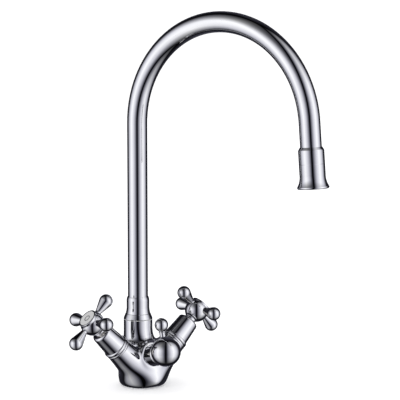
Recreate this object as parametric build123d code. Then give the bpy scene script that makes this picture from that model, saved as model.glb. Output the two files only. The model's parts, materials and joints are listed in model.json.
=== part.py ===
from build123d import *
import os
from math import acos, atan2, cos, hypot, pi, radians, sin, tan

# Three-way deck-mounted kitchen tap with a swan-neck spout: two ceramic-disc cross handles on the
# arms of a V-shaped body, and a small third valve with a pin lever at the front for filtered water.
# Millimetres. Origin: centre of the foot's underside on the deck. +Z up, -Y towards the user,
# +X to the user's right. The spout is drawn swung 20 degrees towards +X.

# ---------------------------------------------------------------- driving sizes
RUN_GAP = 0.05            # radial running clearance of turning fits
SLIP_GAP = 0.02           # clearance of parts pushed together for good
FILM_GAP = 0.02           # water film between two lapped ceramic discs

# foot
FOOT_R = 23.0             # at the deck
FOOT_EDGE_R = 3.4         # rounded lower edge
CHIN_Z = 8.5              # height where the foot is fullest, under the arms' roots
CHIN_Y = -2.4
CHIN_R = 27.2
CHIN_SHOULDER_R = 13.0    # soft edge between the foot and the trunk above it
SEAL_R = 18.6             # mid radius of the deck seal
SEAL_W = 2.0
SEAL_DEPTH = 2.4

# V arms that carry the hot and cold valves
ARM_Y = -9.4              # the arms stand ahead of the column
ARM_Z = 10.0              # height where the two arm axes meet
ARM_TILT = 44.5           # of an arm's axis above the deck
ARM_R = 13.8              # behind the lip at the arm's end
ARM_ROOT_R = 19.6         # where the arm axes meet, inside the trunk
ARM_ROOT_ROUND = 11.0     # rounding of that hidden end
ARM_LENGTH = 52.3         # from the meeting point to the arm's end face
ARM_LIP_R = 14.3
ARM_LIP = 2.8
CHAMBER_R = 9.5           # G1/2 valve chamber
CHAMBER_DEPTH = 21.3

# column that carries the spout
COLUMN_Y = 6.0
COLUMN_R = 16.0
COLUMN_TOP = 71.7
COLUMN_STRAIGHT = 50.0    # height where the tapered trunk has become the column
ARM_BLEND = 3.0           # cast fillet where an arm runs into the trunk
BOSS_BLEND = 3.0          # cast fillet round the front boss
SOCKET_R = 12.0           # bore for the spout's spigot
SOCKET_FLOOR = 40.0
WELL_R = 7.0              # mixing well below the bore
WELL_FLOOR = 27.0

# front boss and filtered-water valve
BOSS_Y = -25.0            # centre of the boss's end face
BOSS_Z = 36.3
BOSS_TILT = 19.0
BOSS_R = 15.0
BOSS_ROOT = 22.0          # how far the boss runs back into the body
BOSS_RECESS_R = 12.4
BOSS_RECESS = 2.0
FRONT_CHAMBER_R = 7.1
FRONT_CHAMBER_DEPTH = 19.0

# ports in the underside
INLET_R = 4.5             # tapping hole for M10 x 1
INLET_DEPTH = 12.0
INLET_X = 11.0
INLET_Y = -2.0
FILTER_INLET_Y = -12.6
STUD_R = 3.4              # tapping hole for M8
STUD_DEPTH = 14.0
STUD_Y = 13.5
WATERWAY_R = 2.8
FILTER_WAY_R = 2.0

# ceramic quarter-turn cartridge, measured along the arm from its end face
SEAT_SEAL_T = 3.0
DISC_T = 3.0
DISC_R = 6.8
CAGE_R = 8.9
CAGE_WALL = 2.0
THREAD_LENGTH = 9.0
HEX_AF = 20.0
HEX_T = 3.4
NECK_R = 7.0
SPINDLE_R = 4.0
SPINDLE_FLANGE_T = 3.9
SPINDLE_RING_R = 0.55     # of the O-ring's cord
SPINDLE_RING_AT = 12.0    # height of the spindle's O-ring above the valve's seat
SPLINE_TEETH = 20
SPLINE_DEPTH = 0.4
WINDOW_W = 7.0

# trim ring and bonnet over a cartridge
TRIM_R = 14.4
TRIM_T = 3.6
BONNET_BASE_R = 13.2
BONNET_TOP_R = 11.4
BONNET_LENGTH = 24.3
BONNET_EDGE_R = 2.6
BONNET_WALL = 1.3

# cross handle, measured along the arm's axis from the plane of its four arms
HANDLE_GAP = 0.6          # between bonnet and handle
HANDLE_NECK = 16.2        # from the arm plane back to the handle's rear end
HUB_R = 11.5
HUB_BEAD_R = 6.6
HUB_BEAD_T = 2.8
HUB_WAIST_R = 5.4
BEZEL_R = 10.6
HUB_RIM_ANGLE = 22.0      # where the ball gives way to the bezel
BEZEL_FRONT = 7.2
INDEX_R = 9.3
INDEX_T = 1.5
SCREW_HEAD_R = 4.2
SCREW_HEAD_T = 3.0
SCREW_R = 2.4
SCREW_LENGTH = 9.0
SCREW_SEAT = 0.6          # underside of the screw head, ahead of the arm plane
SCREW_WEB = 1.2           # hub web under the screw head
HANDLE_TURN = 4.5         # how the closed handles sit, anticlockwise seen from outside
KNOB_BALL_R = 6.9
KNOB_REACH = 28.8         # of a ball's centre from the handle's axis
PIN_NECK_R = 2.45
PIN_FLARE_R = 3.4
PIN_FLARE = 2.8           # length over which the flare thins to the neck
PIN_STUB_R = 2.2
PIN_STUB = 3.4            # length screwed into the hub
PIN_SEAT = 10.9           # radius of the spot face that an arm sits on

# spout
SPOUT_SWING = 20.0        # from straight ahead towards +X
TUBE_R = 11.0
TUBE_WALL = 1.2
TUBE_FOOT = 82.0          # lower end of the tube inside its collar
SPRING_LINE = 287.0       # height where the arch begins
ARCH_R = 108.6
ARCH_ANGLE = 175.6
ARCH_TAIL = 25.0          # straight run after the arch, to the nozzle's shoulder
COLLAR_LIFT = 0.5         # bush flange that shows between column and collar
COLLAR_R = 15.8
COLLAR_BAND_TOP = 78.0
COLLAR_BAND_R = 13.9
SLEEVE_R = 12.5
SLEEVE_FOOT = 84.5
SLEEVE_SHOULDER = 92.5
COLLAR_TOP = 97.0
SPIGOT_R = 11.5
SPIGOT_BORE_R = 8.3
SPIGOT_END = 43.5
O_RING_R = 1.1
O_RING_HEIGHTS = (48.0, 54.0)
KEEPER_Z = 60.5           # groove for the keeper screw
KEEPER_GROOVE = 4.2
KEEPER_ROOT_R = 9.9
KEEPER_SCREW_R = 2.5
KEEPER_TIP_R = 1.7
BUSH_FOOT = 65.7
BUSH_R = 13.3
FILTER_TUBE_R = 3.0
FILTER_TUBE_WALL = 1.0
FILTER_TUBE_FOOT = 19.0
FILTER_SOCKET_FLOOR = 17.5
FILTER_SEAL_T = 2.0
FILTER_SEAL_R = 4.6

# nozzle, measured down from its shoulder
NOZZLE_R = 13.25
NOZZLE_SHOULDER = 3.0
NOZZLE_SEAM = 17.0
NOZZLE_SEAM_GAP = 0.25
NOZZLE_LENGTH = 42.0
TUBE_INTO_NOZZLE = 11.5
NOZZLE_THREAD_R = 11.0    # M22 between the two halves
NOZZLE_SEAL_T = 1.6
INSERT_R = 12.0
BELL_R = 16.25
BELL_LIP = 2.6
BELL_FLARE = 12.0         # height of the flare above the lip
BELL_WALL = 1.9
INSERT_T = 5.0
INSERT_RISE = 2.0         # of the insert's face above the bell's rim
INSERT_SLOTS = 12
JET_R = 4.2

# front valve, measured along the boss axis from its end face
FRONT_BONNET_R = 11.8
FRONT_BONNET_LENGTH = 15.4
FRONT_BONNET_EDGE_R = 2.4
FRONT_BONNET_WALL = 1.2
FRONT_CAGE_R = 6.8
FRONT_CAGE_WALL = 1.6
FRONT_DISC_R = 5.1
FRONT_THREAD_LENGTH = 7.0
FRONT_HEX_AF = 15.0
FRONT_HEX_T = 3.0
FRONT_NECK_R = 5.2
FRONT_SPINDLE_R = 3.0
FRONT_WINDOW_W = 5.0

# domed knob and pin lever of the front valve
DOME_REAR = 14.0
DOME_HUB_R = 6.5          # flat of the rear face
DOME_REAR_EDGE_R = 8.0    # rounding between the rear face and the dome's side
DOME_R = 15.0
DOME_WIDEST = 32.1
DOME_EDGE_R = 5.0         # rounding between the dome's side and its front
DOME_CAP_ANGLE = 60.0     # where that rounding gives way to the flatter front
DOME_SOCKET = 32.5        # where the spindle's socket ends
LEVER_AT = 22.1           # where the lever's axis leaves the boss axis
LEVER_LEAN = 8.0          # of the lever towards the user
LEVER_REACH = 29.3        # of its ball
LEVER_BALL_R = 6.8
LEVER_SEAT = 13.2
LEVER_NECK_R = 3.0
LEVER_FLARE_R = 4.2
LEVER_BEAD_R = 3.9
LEVER_BEAD_T = 1.4
GRUB_R = 2.0
GRUB_LENGTH = 5.0

# ---------------------------------------------------------------- shape helpers


def turned(outline, rounds=()):
    """Solid turned about Z from a closed (radius, height) outline.

    rounds lists (corner, radius) pairs: that corner of the outline is rounded first.
    """
    face = make_face(Polyline(*outline, close=True))
    for corner, radius in rounds:
        vertex = face.vertices().sort_by_distance(corner + (0,))[0]
        face = fillet(vertex, radius)
    return revolve(Plane.XZ * face, Axis.Z)


def turned_curve(*edges):
    """Solid turned about Z from edges that close a (radius, height) outline."""
    return revolve(Plane.XZ * make_face(list(edges)), Axis.Z)


def rod(radius, low, high):
    """Plain cylinder about Z between two heights."""
    return turned([(0, low), (radius, low), (radius, high), (0, high)])


def ring(outer, inner, low, high, rounds=()):
    """Ring about Z between two radii and two heights."""
    return turned([(inner, low), (outer, low), (outer, high), (inner, high)], rounds)


def drill(start, end, radius):
    """Straight drilling between two points."""
    start, end = Vector(*start), Vector(*end)
    way = end - start
    return Plane(origin=start, z_dir=way) * rod(radius, 0, way.length)


def splined(radius, low, high, grow=0.0):
    """Spindle end with SPLINE_TEETH vee grooves; grow makes the socket that fits it."""
    points = []
    for tooth in range(2 * SPLINE_TEETH):
        reach = radius + grow - (SPLINE_DEPTH if tooth % 2 else 0.0)
        turn = pi * tooth / SPLINE_TEETH
        points.append((reach * cos(turn), reach * sin(turn)))
    face = make_face(Polyline(*points, close=True))
    return Pos(0, 0, low) * extrude(face, high - low)


def spread(solids):
    """One compound of separate solids."""
    return Compound([part for solid in solids for part in solid.solids()])


# ---------------------------------------------------------------- axes and places


def arm_plane(side, along):
    """Plane square to a valve arm at a distance from where the arm axes meet, its X axis forward."""
    way = Vector(side * cos(radians(ARM_TILT)), 0, sin(radians(ARM_TILT)))
    return Plane(origin=Vector(0, ARM_Y, ARM_Z) + way * along, x_dir=(0, -1, 0), z_dir=way)


def boss_plane(along):
    """Plane square to the front valve's axis, its X axis to the user's right."""
    way = Vector(0, -cos(radians(BOSS_TILT)), sin(radians(BOSS_TILT)))
    return Plane(origin=Vector(0, BOSS_Y, BOSS_Z) + way * along, x_dir=(1, 0, 0), z_dir=way)


def spout_plane():
    """Plane of the arch: X towards the outlet, Y up, on the column's axis."""
    swing = radians(SPOUT_SWING)
    ahead = Vector(sin(swing), -cos(swing), 0)
    return Plane(origin=(0, COLUMN_Y, 0), x_dir=ahead, z_dir=ahead.cross(Vector(0, 0, 1)))


def nozzle_plane(down=0.0):
    """Plane square to the nozzle at a distance below its shoulder, its Z axis along the flow."""
    frame = spout_plane()
    end = radians(ARCH_ANGLE)
    heading = (sin(end), cos(end))
    reach = ARCH_R * (1 - cos(end)) + heading[0] * (ARCH_TAIL + down)
    height = SPRING_LINE + ARCH_R * sin(end) + heading[1] * (ARCH_TAIL + down)
    origin = frame.from_local_coords(Vector(reach, height, 0))
    way = frame.x_dir * heading[0] + Vector(0, 0, 1) * heading[1]
    return Plane(origin=origin, x_dir=frame.z_dir, z_dir=way)


ARM_ENDS = {"hot": -1, "cold": 1}
HANDLE_UP = TRIM_T + BONNET_LENGTH + HANDLE_GAP + HANDLE_NECK
HANDLE_AT = ARM_LENGTH + HANDLE_UP
FRONT_DEEP = FRONT_CHAMBER_DEPTH - BOSS_RECESS
column = Plane(origin=(0, COLUMN_Y, 0))

# ---------------------------------------------------------------- body casting


def blended(body, bars, blend):
    """Body with the curves rounded where turned bars run into it.

    A bar is given by its plane, its radius in that plane and its growth per millimetre above it.
    """

    def on_bar(edge, plane, radius, growth):
        spots = [plane.to_local_coords(edge @ part) for part in (0.3, 0.5, 0.7)]
        return all(abs(hypot(spot.X, spot.Y) - radius - growth * spot.Z) < 0.02 for spot in spots)

    plain = (GeomType.LINE, GeomType.CIRCLE)
    seams = [
        edge for edge in body.edges()
        if edge.geom_type not in plain and any(on_bar(edge, *bar) for bar in bars)
    ]
    return fillet(seams, blend)


def level_edges(body, height):
    """Edges of a body that lie at one height."""
    return [
        edge for edge in body.edges()
        if all(abs((edge @ part).Z - height) < 0.01 for part in (0.2, 0.5, 0.8))
    ]


def trunk_shape():
    """Foot that swells under the arms' roots and tapers, leaning back, into the column."""
    foot, chin, neck = (
        Pos(0, y, z) * Rot(0, 0, 90) * Face(Wire(Edge.make_circle(radius)))
        for radius, y, z in (
            (FOOT_R, 0, 0), (CHIN_R, CHIN_Y, CHIN_Z), (COLUMN_R, COLUMN_Y, COLUMN_STRAIGHT))
    )
    trunk = loft([foot, chin], ruled=True) + loft([chin, neck], ruled=True)
    trunk += column * Rot(0, 0, 90) * rod(COLUMN_R, COLUMN_STRAIGHT, COLUMN_TOP)
    trunk = fillet(level_edges(trunk, CHIN_Z), CHIN_SHOULDER_R)
    return fillet(level_edges(trunk, 0), FOOT_EDGE_R)


def arm_shape():
    """One arm, thick at its root and slimmer at its end."""
    return turned(
        [(0, 0), (ARM_ROOT_R, 0), (ARM_R, ARM_LENGTH), (0, ARM_LENGTH)],
        [((ARM_ROOT_R, 0), ARM_ROOT_ROUND)]
    )


def arm_lip():
    """Rounded lip at an arm's end."""
    low, edge = ARM_LENGTH - ARM_LIP, 0.3 * ARM_LIP
    return ring(ARM_LIP_R, CHAMBER_R, low, ARM_LENGTH,
                [((ARM_LIP_R, low), edge), ((ARM_LIP_R, ARM_LENGTH), edge)])


def body_shape():
    """Outside of the casting: trunk, two valve arms and front boss, blended together."""
    body = trunk_shape()
    growth = (ARM_R - ARM_ROOT_R) / ARM_LENGTH
    arms = [arm_plane(side, 0) for side in ARM_ENDS.values()]
    for arm in arms:
        body += arm * arm_shape()
    body = blended(body, [(arm, ARM_ROOT_R, growth) for arm in arms], ARM_BLEND)
    body += boss_plane(0) * rod(BOSS_R, -BOSS_ROOT, 0)
    body = blended(body, [(boss_plane(0), BOSS_R, 0)], BOSS_BLEND)
    for arm in arms:
        body += arm * arm_lip()
    return body


def body_casting():
    """Brass casting with its valve chambers, spout bore, waterways and threaded ports."""
    body = body_shape()
    for side in ARM_ENDS.values():
        floor = ARM_LENGTH - CHAMBER_DEPTH
        body -= arm_plane(side, floor) * rod(CHAMBER_R, 0, CHAMBER_DEPTH + 1)
        port = (side * INLET_X, INLET_Y)
        body -= drill((*port, 0), (*port, INLET_DEPTH), INLET_R)
        body -= drill((*port, INLET_DEPTH - 1), arm_plane(side, floor).origin, WATERWAY_R)
        outlet = arm_plane(side, floor + SEAT_SEAL_T).origin
        body -= drill(outlet, (0, COLUMN_Y, WELL_FLOOR + WATERWAY_R), WATERWAY_R)
    body -= boss_plane(0) * rod(BOSS_RECESS_R, -BOSS_RECESS, 1)
    body -= boss_plane(0) * rod(FRONT_CHAMBER_R, -FRONT_CHAMBER_DEPTH, 0)
    chamber_floor = boss_plane(-FRONT_CHAMBER_DEPTH + FILTER_WAY_R).origin
    body -= drill((0, FILTER_INLET_Y, 0), (0, FILTER_INLET_Y, INLET_DEPTH), INLET_R)
    filter_rise = (0, FILTER_INLET_Y, INLET_DEPTH - 1), (0, FILTER_INLET_Y, chamber_floor.Z)
    body -= drill(*filter_rise, FILTER_WAY_R)
    body -= drill(chamber_floor, (0, COLUMN_Y, FILTER_SOCKET_FLOOR + FILTER_WAY_R), FILTER_WAY_R)
    body -= drill((0, STUD_Y, 0), (0, STUD_Y, STUD_DEPTH), STUD_R)
    body -= column * rod(SOCKET_R, SOCKET_FLOOR, COLUMN_TOP + 1)
    body -= column * rod(BUSH_R + SLIP_GAP, BUSH_FOOT, COLUMN_TOP + 1)
    body -= column * rod(WELL_R, WELL_FLOOR, SOCKET_FLOOR + 1)
    body -= column * rod(FILTER_TUBE_R + RUN_GAP, FILTER_SOCKET_FLOOR, WELL_FLOOR + 1)
    body -= column * rod(FILTER_SEAL_R, WELL_FLOOR - FILTER_SEAL_T, WELL_FLOOR + 1)
    keeper_mouth = COLUMN_Y + COLUMN_R + 2
    body -= drill((0, COLUMN_Y, KEEPER_Z), (0, keeper_mouth, KEEPER_Z), KEEPER_SCREW_R)
    body -= ring(SEAL_R + SEAL_W / 2, SEAL_R - SEAL_W / 2, -1, SEAL_DEPTH)
    return body


def deck_seal():
    """Rubber ring in the groove round the underside."""
    half = SEAL_W / 2 - SLIP_GAP
    return ring(SEAL_R + half, SEAL_R - half, 0, SEAL_DEPTH - SLIP_GAP)


# ---------------------------------------------------------------- ceramic valves
# Heights along a valve's axis count from its seat, the end face of the arm or the boss recess.


def seat_seal(radius, hole, floor):
    """Rubber ring between the chamber's floor and the fixed disc."""
    return ring(radius, hole, floor, floor + SEAT_SEAL_T, [((radius, floor + SEAT_SEAL_T), 0.4)])


def ceramic_disc(radius, low):
    """Lapped disc with two opposed sector ports, open a quarter turn apart."""
    disc = rod(radius, low, low + DISC_T)
    inner, outer = 0.26 * radius, 0.82 * radius
    for middle in (0, 180):
        corners = ((inner, -38), (outer, -38), (outer, 0), (outer, 38), (inner, 38), (inner, 0))
        points = [Vector(reach, 0).rotate(Axis.Z, middle + turn) for reach, turn in corners]
        rim = ThreePointArc(points[1], points[2], points[3])
        root = ThreePointArc(points[4], points[5], points[0])
        port = make_face([Line(points[0], points[1]), rim, Line(points[3], points[4]), root])
        disc -= Pos(0, 0, low - 1) * extrude(port, DISC_T + 2)
    return disc


def valve_cage(cage_r, wall, thread_r, thread, hex_af, hex_t, neck_r, neck_top, spindle_r, floor,
               window):
    """Brass cartridge body: caged discs below, thread, hexagon, and the neck that guides the spindle."""
    low = floor + SEAT_SEAL_T
    flange = low + 2 * DISC_T + FILM_GAP + SPINDLE_FLANGE_T
    cage = turned(
        [(0, low), (cage_r, low), (cage_r, -thread), (thread_r, -thread), (thread_r, 0),
         (neck_r, 0), (neck_r, neck_top), (0, neck_top)], [((neck_r, neck_top), 0.5)]
    )
    cage += extrude(RegularPolygon(hex_af / 2, 6, major_radius=False), hex_t)
    cage -= rod(cage_r - wall, low - 1, flange + RUN_GAP)
    cage -= rod(spindle_r + RUN_GAP, low, neck_top + 1)
    windows = Box(4 * cage_r, window, DISC_T + SPINDLE_FLANGE_T / 2)
    return cage - Pos(0, 0, low + 1.5 * DISC_T + SPINDLE_FLANGE_T / 4) * windows


def valve_spindle(radius, flange_r, floor, top, spline_from, seal_at):
    """Brass spindle: driving flange on the moving disc, shaft, O-ring groove and splined end."""
    low = floor + SEAT_SEAL_T + 2 * DISC_T + FILM_GAP
    spindle = rod(flange_r, low, low + SPINDLE_FLANGE_T) + rod(radius, low, spline_from)
    spindle += splined(radius, spline_from, top)
    return spindle - ring(radius + 1, radius - 2 * SPINDLE_RING_R, seal_at - SPINDLE_RING_R,
                          seal_at + SPINDLE_RING_R)


def spindle_ring(radius, seal_at):
    """Small O-ring in the spindle's groove."""
    middle = radius - SPINDLE_RING_R
    circle = Pos(middle, seal_at) * Circle(SPINDLE_RING_R - SLIP_GAP)
    return revolve(Plane.XZ * circle, Axis.Z)


def trim_ring():
    """Chrome bead between an arm and its bonnet."""
    inner = HEX_AF / 2 / cos(radians(30)) + 0.15
    edge = 0.3 * TRIM_T
    return ring(TRIM_R, inner, 0, TRIM_T, [((TRIM_R, 0), edge), ((TRIM_R, TRIM_T), edge)])


def bonnet():
    """Tapered chrome shroud screwed over the cartridge's neck."""
    foot, top = TRIM_T, TRIM_T + BONNET_LENGTH
    ceiling = top - BONNET_EDGE_R
    hole = NECK_R + SLIP_GAP
    return turned(
        [(hole, ceiling), (BONNET_TOP_R - BONNET_WALL, ceiling), (BONNET_BASE_R - BONNET_WALL, foot),
         (BONNET_BASE_R, foot), (BONNET_TOP_R, top), (hole, top)],
        [((BONNET_TOP_R, top), BONNET_EDGE_R)]
    )


def front_bonnet():
    """Plain chrome sleeve between the front boss and its knob."""
    top = FRONT_BONNET_LENGTH
    ceiling = top - FRONT_BONNET_EDGE_R
    inner = FRONT_BONNET_R - FRONT_BONNET_WALL
    hole = FRONT_NECK_R + SLIP_GAP
    return turned(
        [(hole, ceiling), (inner, ceiling), (inner, 0), (FRONT_BONNET_R, 0), (FRONT_BONNET_R, top),
         (hole, top)], [((FRONT_BONNET_R, top), FRONT_BONNET_EDGE_R)]
    )


# ---------------------------------------------------------------- cross handles
# Heights count along the handle's axis from the plane of its four arms.


def hub():
    """Ball-shaped hub with a beaded neck behind and a bezel round the index disc in front."""
    rear = -HANDLE_NECK
    bead_top = rear + HUB_BEAD_T
    back = (0, -HUB_R)
    rim = (HUB_R * cos(radians(HUB_RIM_ANGLE)), HUB_R * sin(radians(HUB_RIM_ANGLE)))
    ball = turned_curve(
        ThreePointArc(back, (HUB_R * cos(radians(-20)), HUB_R * sin(radians(-20))), rim),
        Line(rim, (0, rim[1])), Line((0, rim[1]), back)
    )
    neck = turned(
        [(0, rear), (HUB_BEAD_R, rear), (HUB_BEAD_R, bead_top), (HUB_WAIST_R, bead_top),
         (HUB_WAIST_R, -HUB_R / 2), (0, -HUB_R / 2)],
        [((HUB_BEAD_R, rear), 0.9), ((HUB_BEAD_R, bead_top), 0.9)]
    )
    bezel = turned(
        [(0, 0), (BEZEL_R - 1, 0), (BEZEL_R - 1, rim[1] + 0.5), (BEZEL_R, rim[1] + 0.5),
         (BEZEL_R, BEZEL_FRONT), (0, BEZEL_FRONT)],
        [((BEZEL_R, rim[1] + 0.5), 0.5), ((BEZEL_R, BEZEL_FRONT), 0.7)]
    )
    return ball + neck + bezel


def handle_hub():
    """Hub with its index recess, screw seat, splined socket and the four seats of its arms."""
    body = hub()
    recess = BEZEL_FRONT - INDEX_T - 0.2
    body -= rod(INDEX_R + SLIP_GAP, recess, BEZEL_FRONT + 1)
    body -= rod(SCREW_HEAD_R + 0.4, SCREW_SEAT, recess + 1)
    body -= rod(SCREW_R + 0.1, -1 - SCREW_WEB, SCREW_SEAT + 1)
    body -= splined(SPINDLE_R, -HANDLE_NECK - 1, SCREW_SEAT - SCREW_WEB, SLIP_GAP)
    for arm in handle_arm_planes():
        body -= arm * rod(PIN_STUB_R + SLIP_GAP, PIN_SEAT - PIN_STUB, HUB_R + 1)
        body -= arm * rod(PIN_FLARE_R + SLIP_GAP, PIN_SEAT, HUB_R + 1)
    return body


def handle_arm_planes():
    """Four planes square to the arms; the first arm lies along +Y of the handle."""
    planes = []
    for quarter in range(4):
        turn = radians(90 * quarter + 90)
        planes.append(Plane(origin=(0, 0, 0), x_dir=(0, 0, 1), z_dir=(cos(turn), sin(turn), 0)))
    return planes


def ball_pin(seat, stub_r, stub, flare, neck, ball_r, reach):
    """Pin from its stub through a flared neck to a ball; flare and neck are (radius, height)."""
    away = (neck[0], neck[1] - reach)
    span = hypot(*away)
    bearing = atan2(away[1], away[0]) + acos(ball_r / span)
    touch = (ball_r * cos(bearing), reach + ball_r * sin(bearing))
    side = (ball_r * cos(0.2), reach + ball_r * sin(0.2))
    middle = ((flare[0] + 2 * neck[0]) / 3, (flare[1] + neck[1]) / 2)
    tip = (0, reach + ball_r)
    foot = (0, seat - stub)
    return turned_curve(
        Polyline(foot, (stub_r, seat - stub), (stub_r, seat), flare),
        ThreePointArc(flare, middle, neck), Line(neck, touch), ThreePointArc(touch, side, tip),
        Line(tip, foot)
    )


def handle_pin():
    """One teardrop arm of a cross handle."""
    return ball_pin(PIN_SEAT, PIN_STUB_R, PIN_STUB, (PIN_FLARE_R, PIN_SEAT),
                    (PIN_NECK_R, PIN_SEAT + PIN_FLARE), KNOB_BALL_R, KNOB_REACH)


def handle_screw():
    """Cheese-head screw that holds the handle on its spindle."""
    top = SCREW_SEAT + SCREW_HEAD_T
    screw = rod(SCREW_HEAD_R, SCREW_SEAT, top) + rod(SCREW_R, SCREW_SEAT - SCREW_LENGTH, top - 1)
    return screw - Pos(0, 0, top) * Box(3 * SCREW_HEAD_R, 1.2, 2.4)


def index_disc():
    """Snap-in disc that covers the handle screw."""
    top = BEZEL_FRONT - 0.2
    return turned([(0, top - INDEX_T), (INDEX_R, top - INDEX_T), (INDEX_R, top), (0, top)],
                  [((INDEX_R, top), 0.3)])


def handle_spindle():
    """Spindle of an arm valve, tapped for the handle's screw."""
    top = SCREW_SEAT - SCREW_WEB - SLIP_GAP
    body = valve_spindle(SPINDLE_R, DISC_R, -CHAMBER_DEPTH, HANDLE_UP + top,
                         HANDLE_UP - HANDLE_NECK - HANDLE_GAP / 4, SPINDLE_RING_AT)
    return body - rod(SCREW_R + SLIP_GAP, HANDLE_UP + SCREW_SEAT - SCREW_LENGTH - 1, HANDLE_UP + top + 1)


# ---------------------------------------------------------------- front knob and lever
# Heights count along the boss axis from the boss's end face.


def lever_plane():
    """Plane square to the pin lever, in the boss's own frame."""
    lean = radians(LEVER_LEAN)
    return Plane(origin=(0, 0, LEVER_AT), x_dir=(1, 0, 0), z_dir=(0, cos(lean), sin(lean)))


def grub_plane():
    """Plane square to the grub screw, opposite the lever."""
    return Plane(origin=(0, 0, LEVER_AT + 3), x_dir=(1, 0, 0), z_dir=(0, -1, 0))


def front_knob():
    """Domed knob with the lever's seat, the spindle's splined socket and the grub screw's hole."""
    rear = CenterArc((DOME_HUB_R, DOME_REAR + DOME_REAR_EDGE_R), DOME_REAR_EDGE_R, -90, 90)
    inset = DOME_R - DOME_EDGE_R
    edge = CenterArc((inset, DOME_WIDEST), DOME_EDGE_R, 0, DOME_CAP_ANGLE)
    side = Spline(rear @ 1, edge @ 0, tangents=[(0, 1), (0, 1)])
    cap_r = DOME_EDGE_R + inset / cos(radians(DOME_CAP_ANGLE))
    cap_z = DOME_WIDEST - inset * tan(radians(DOME_CAP_ANGLE))
    half = radians(45 + DOME_CAP_ANGLE / 2)
    nose = (0, cap_z + cap_r)
    cap = ThreePointArc(edge @ 1, (cap_r * cos(half), cap_z + cap_r * sin(half)), nose)
    knob = turned_curve(
        Line((0, DOME_REAR), rear @ 0), rear, side, edge, cap, Line(nose, (0, DOME_REAR))
    )
    knob -= splined(FRONT_SPINDLE_R, DOME_REAR - 1, DOME_SOCKET, SLIP_GAP)
    knob -= lever_plane() * rod(PIN_STUB_R + SLIP_GAP, LEVER_SEAT - PIN_STUB, DOME_R + 2)
    knob -= lever_plane() * rod(LEVER_FLARE_R + SLIP_GAP, LEVER_SEAT, DOME_R + 2)
    return knob - grub_plane() * rod(GRUB_R + SLIP_GAP, 0, DOME_R + 2)


def pin_lever():
    """Short pin lever with a small bead under its ball."""
    bead = LEVER_REACH - LEVER_BALL_R - LEVER_BEAD_T / 2
    neck_top = (LEVER_NECK_R, bead - LEVER_BEAD_T)
    pin = ball_pin(LEVER_SEAT, PIN_STUB_R, PIN_STUB, (LEVER_FLARE_R, LEVER_SEAT), neck_top,
                   LEVER_BALL_R, LEVER_REACH)
    low, high, edge = bead - LEVER_BEAD_T / 2, bead + LEVER_BEAD_T / 2, 0.43 * LEVER_BEAD_T
    rounds = [((LEVER_BEAD_R, low), edge), ((LEVER_BEAD_R, high), edge)]
    return pin + ring(LEVER_BEAD_R, 1, low, high, rounds)


def grub_screw():
    """Socket set screw that locks the front knob on its spindle."""
    low = FRONT_SPINDLE_R + SLIP_GAP
    screw = rod(GRUB_R, low, low + GRUB_LENGTH)
    socket = extrude(RegularPolygon(1.0, 6, major_radius=False), GRUB_LENGTH / 2)
    return screw - Pos(0, 0, low + GRUB_LENGTH / 2 + 0.1) * socket


def front_spindle():
    """Spindle of the front valve."""
    return valve_spindle(FRONT_SPINDLE_R, FRONT_DISC_R, -FRONT_DEEP, BOSS_RECESS + DOME_SOCKET - 0.3,
                         FRONT_BONNET_LENGTH + 0.4, SPINDLE_RING_AT)


# ---------------------------------------------------------------- spout


def spout_path(low, past):
    """Centre line of the swan neck: up the column, round the arch and down into the nozzle."""
    rise = Line((0, low), (0, SPRING_LINE))
    arch = JernArc(rise @ 1, (0, 1), ARCH_R, -ARCH_ANGLE)
    fall = Line(arch @ 1, (arch @ 1) + (arch % 1) * (ARCH_TAIL + past))
    return spout_plane() * Wire([rise.edge(), arch.edge(), fall.edge()])


def swept_tube(radius, wall, low, past):
    """Tube bent along the swan neck."""
    path = spout_path(low, past)
    across = Plane(origin=path @ 0, z_dir=path % 0)
    return sweep(across * (Circle(radius) - Circle(radius - wall)), path)


def spout_tube():
    """Chromed brass tube of the swan neck."""
    return swept_tube(TUBE_R, TUBE_WALL, TUBE_FOOT, TUBE_INTO_NOZZLE)


def filter_tube():
    """Inner tube that keeps filtered water apart, from the body's socket to the nozzle's jet."""
    end = NOZZLE_LENGTH - INSERT_RISE - INSERT_T
    return swept_tube(FILTER_TUBE_R, FILTER_TUBE_WALL, FILTER_TUBE_FOOT, end)


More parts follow.
